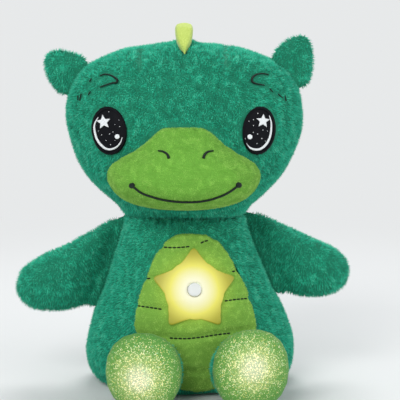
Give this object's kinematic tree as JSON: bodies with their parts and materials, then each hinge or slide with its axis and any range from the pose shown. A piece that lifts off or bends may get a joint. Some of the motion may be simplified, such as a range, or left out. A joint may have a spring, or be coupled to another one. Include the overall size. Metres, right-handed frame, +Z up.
{
  "type": "plush night light",
  "caption": "Seated plush animal night light with a button-operated star lamp in its belly, glowing foot soles, swinging arms and legs and a battery flap in its back.",
  "frame": {"origin": "middle of the flat seat that the toy sits on", "axes": "+Z up through the head, -Y toward the face and the feet, +X toward the toy's own left arm"},
  "size_m": [0.2784, 0.2231, 0.2952],
  "materials": {
    "dark_plush": "matte",
    "lime_plush": "matte",
    "belly_fabric": "matte",
    "crest_fabric": "matte",
    "star_fabric": "satin",
    "glitter_fabric": "satin",
    "eye_thread": "satin",
    "touch_strip": "matte",
    "fibre": "matte",
    "white_plastic": "satin",
    "diffuser": "satin",
    "button": "satin",
    "black_plastic": "matte",
    "board": "satin",
    "lamp": "gloss",
    "cell": "satin",
    "steel": "satin"
  },
  "bodies": {
    "torso": {"torso_cover": "dark_plush", "head_cover": "dark_plush", "ear_right": "dark_plush", "ear_left": "dark_plush", "tail": "dark_plush", "torso_stuffing": "fibre", "head_stuffing": "fibre", "muzzle": "lime_plush", "belly_panel": "belly_fabric", "star_window": "star_fabric", "eye_right": "eye_thread", "eye_left": "eye_thread", "flap_loop_strip": "touch_strip", "star_diffuser": "diffuser", "reflector": "white_plastic", "light_board": "board", "puck_case": "white_plastic", "puck_back": "white_plastic", "button_spring": "steel", "switch_body": "black_plastic", "supply_wire": "black_plastic", "battery_case": "white_plastic", "battery_door": "white_plastic", "door_screw": "steel", "contact_strip_right": "steel", "contact_strip_left": "steel", "crest_spike_1": "crest_fabric", "crest_spike_2": "crest_fabric", "crest_spike_3": "crest_fabric", "crest_spike_4": "crest_fabric", "crest_spike_5": "crest_fabric", "puck_screw_1": "steel", "puck_screw_2": "steel", "puck_screw_3": "steel", "cell_1": "cell", "cell_2": "cell", "cell_3": "cell", "hip_wire_right": "black_plastic", "hip_wire_left": "black_plastic"},
    "button": {"button_plunger": "button"},
    "arm_right": {"arm_right": "dark_plush"},
    "arm_left": {"arm_left": "dark_plush"},
    "leg_right": {"leg_cover_right": "dark_plush", "sole_right": "glitter_fabric", "leg_stuffing_right": "fibre", "leg_wire_right": "black_plastic", "foot_light_case_right": "white_plastic", "foot_led_right": "lamp", "foot_light_dome_right": "diffuser"},
    "leg_left": {"leg_cover_left": "dark_plush", "sole_left": "glitter_fabric", "leg_stuffing_left": "fibre", "leg_wire_left": "black_plastic", "foot_light_case_left": "white_plastic", "foot_led_left": "lamp", "foot_light_dome_left": "diffuser"},
    "back_flap": {"back_flap": "dark_plush", "flap_hook_strip": "touch_strip"}
  },
  "joints": [
    {"name": "button_press", "type": "slide", "parent": "torso", "child": "button", "axis": [0, 0.9581, -0.2866], "range_m": [0, 0.0015], "stiffness_N_per_m": 400, "springref_m": -0.001, "deforming": ["button_spring"]},
    {"name": "arm_right_swing", "type": "hinge", "parent": "torso", "child": "arm_right", "pos_m": [-0.06716, 0, 0.09947], "axis": [0.3088, 0, 0.9511], "range_deg": [-20, 35], "stiffness_Nm_per_rad": 0.12},
    {"name": "arm_left_swing", "type": "hinge", "parent": "torso", "child": "arm_left", "pos_m": [0.05774, 0, 0.10661], "axis": [0.3697, 0, -0.9291], "range_deg": [-20, 35], "stiffness_Nm_per_rad": 0.12},
    {"name": "leg_right_lift", "type": "hinge", "parent": "torso", "child": "leg_right", "pos_m": [-0.0334, -0.067, 0.026], "axis": [-0.9703, 0.2419, 0], "range_deg": [-25, 30], "stiffness_Nm_per_rad": 0.2},
    {"name": "leg_left_lift", "type": "hinge", "parent": "torso", "child": "leg_left", "pos_m": [0.0326, -0.067, 0.026], "axis": [-0.9703, -0.2419, 0], "range_deg": [-25, 30], "stiffness_Nm_per_rad": 0.2},
    {"name": "back_flap_open", "type": "hinge", "parent": "torso", "child": "back_flap", "pos_m": [0, 0.05228, 0.0943], "axis": [1, 0, 0], "range_deg": [0, 100]}
  ]
}
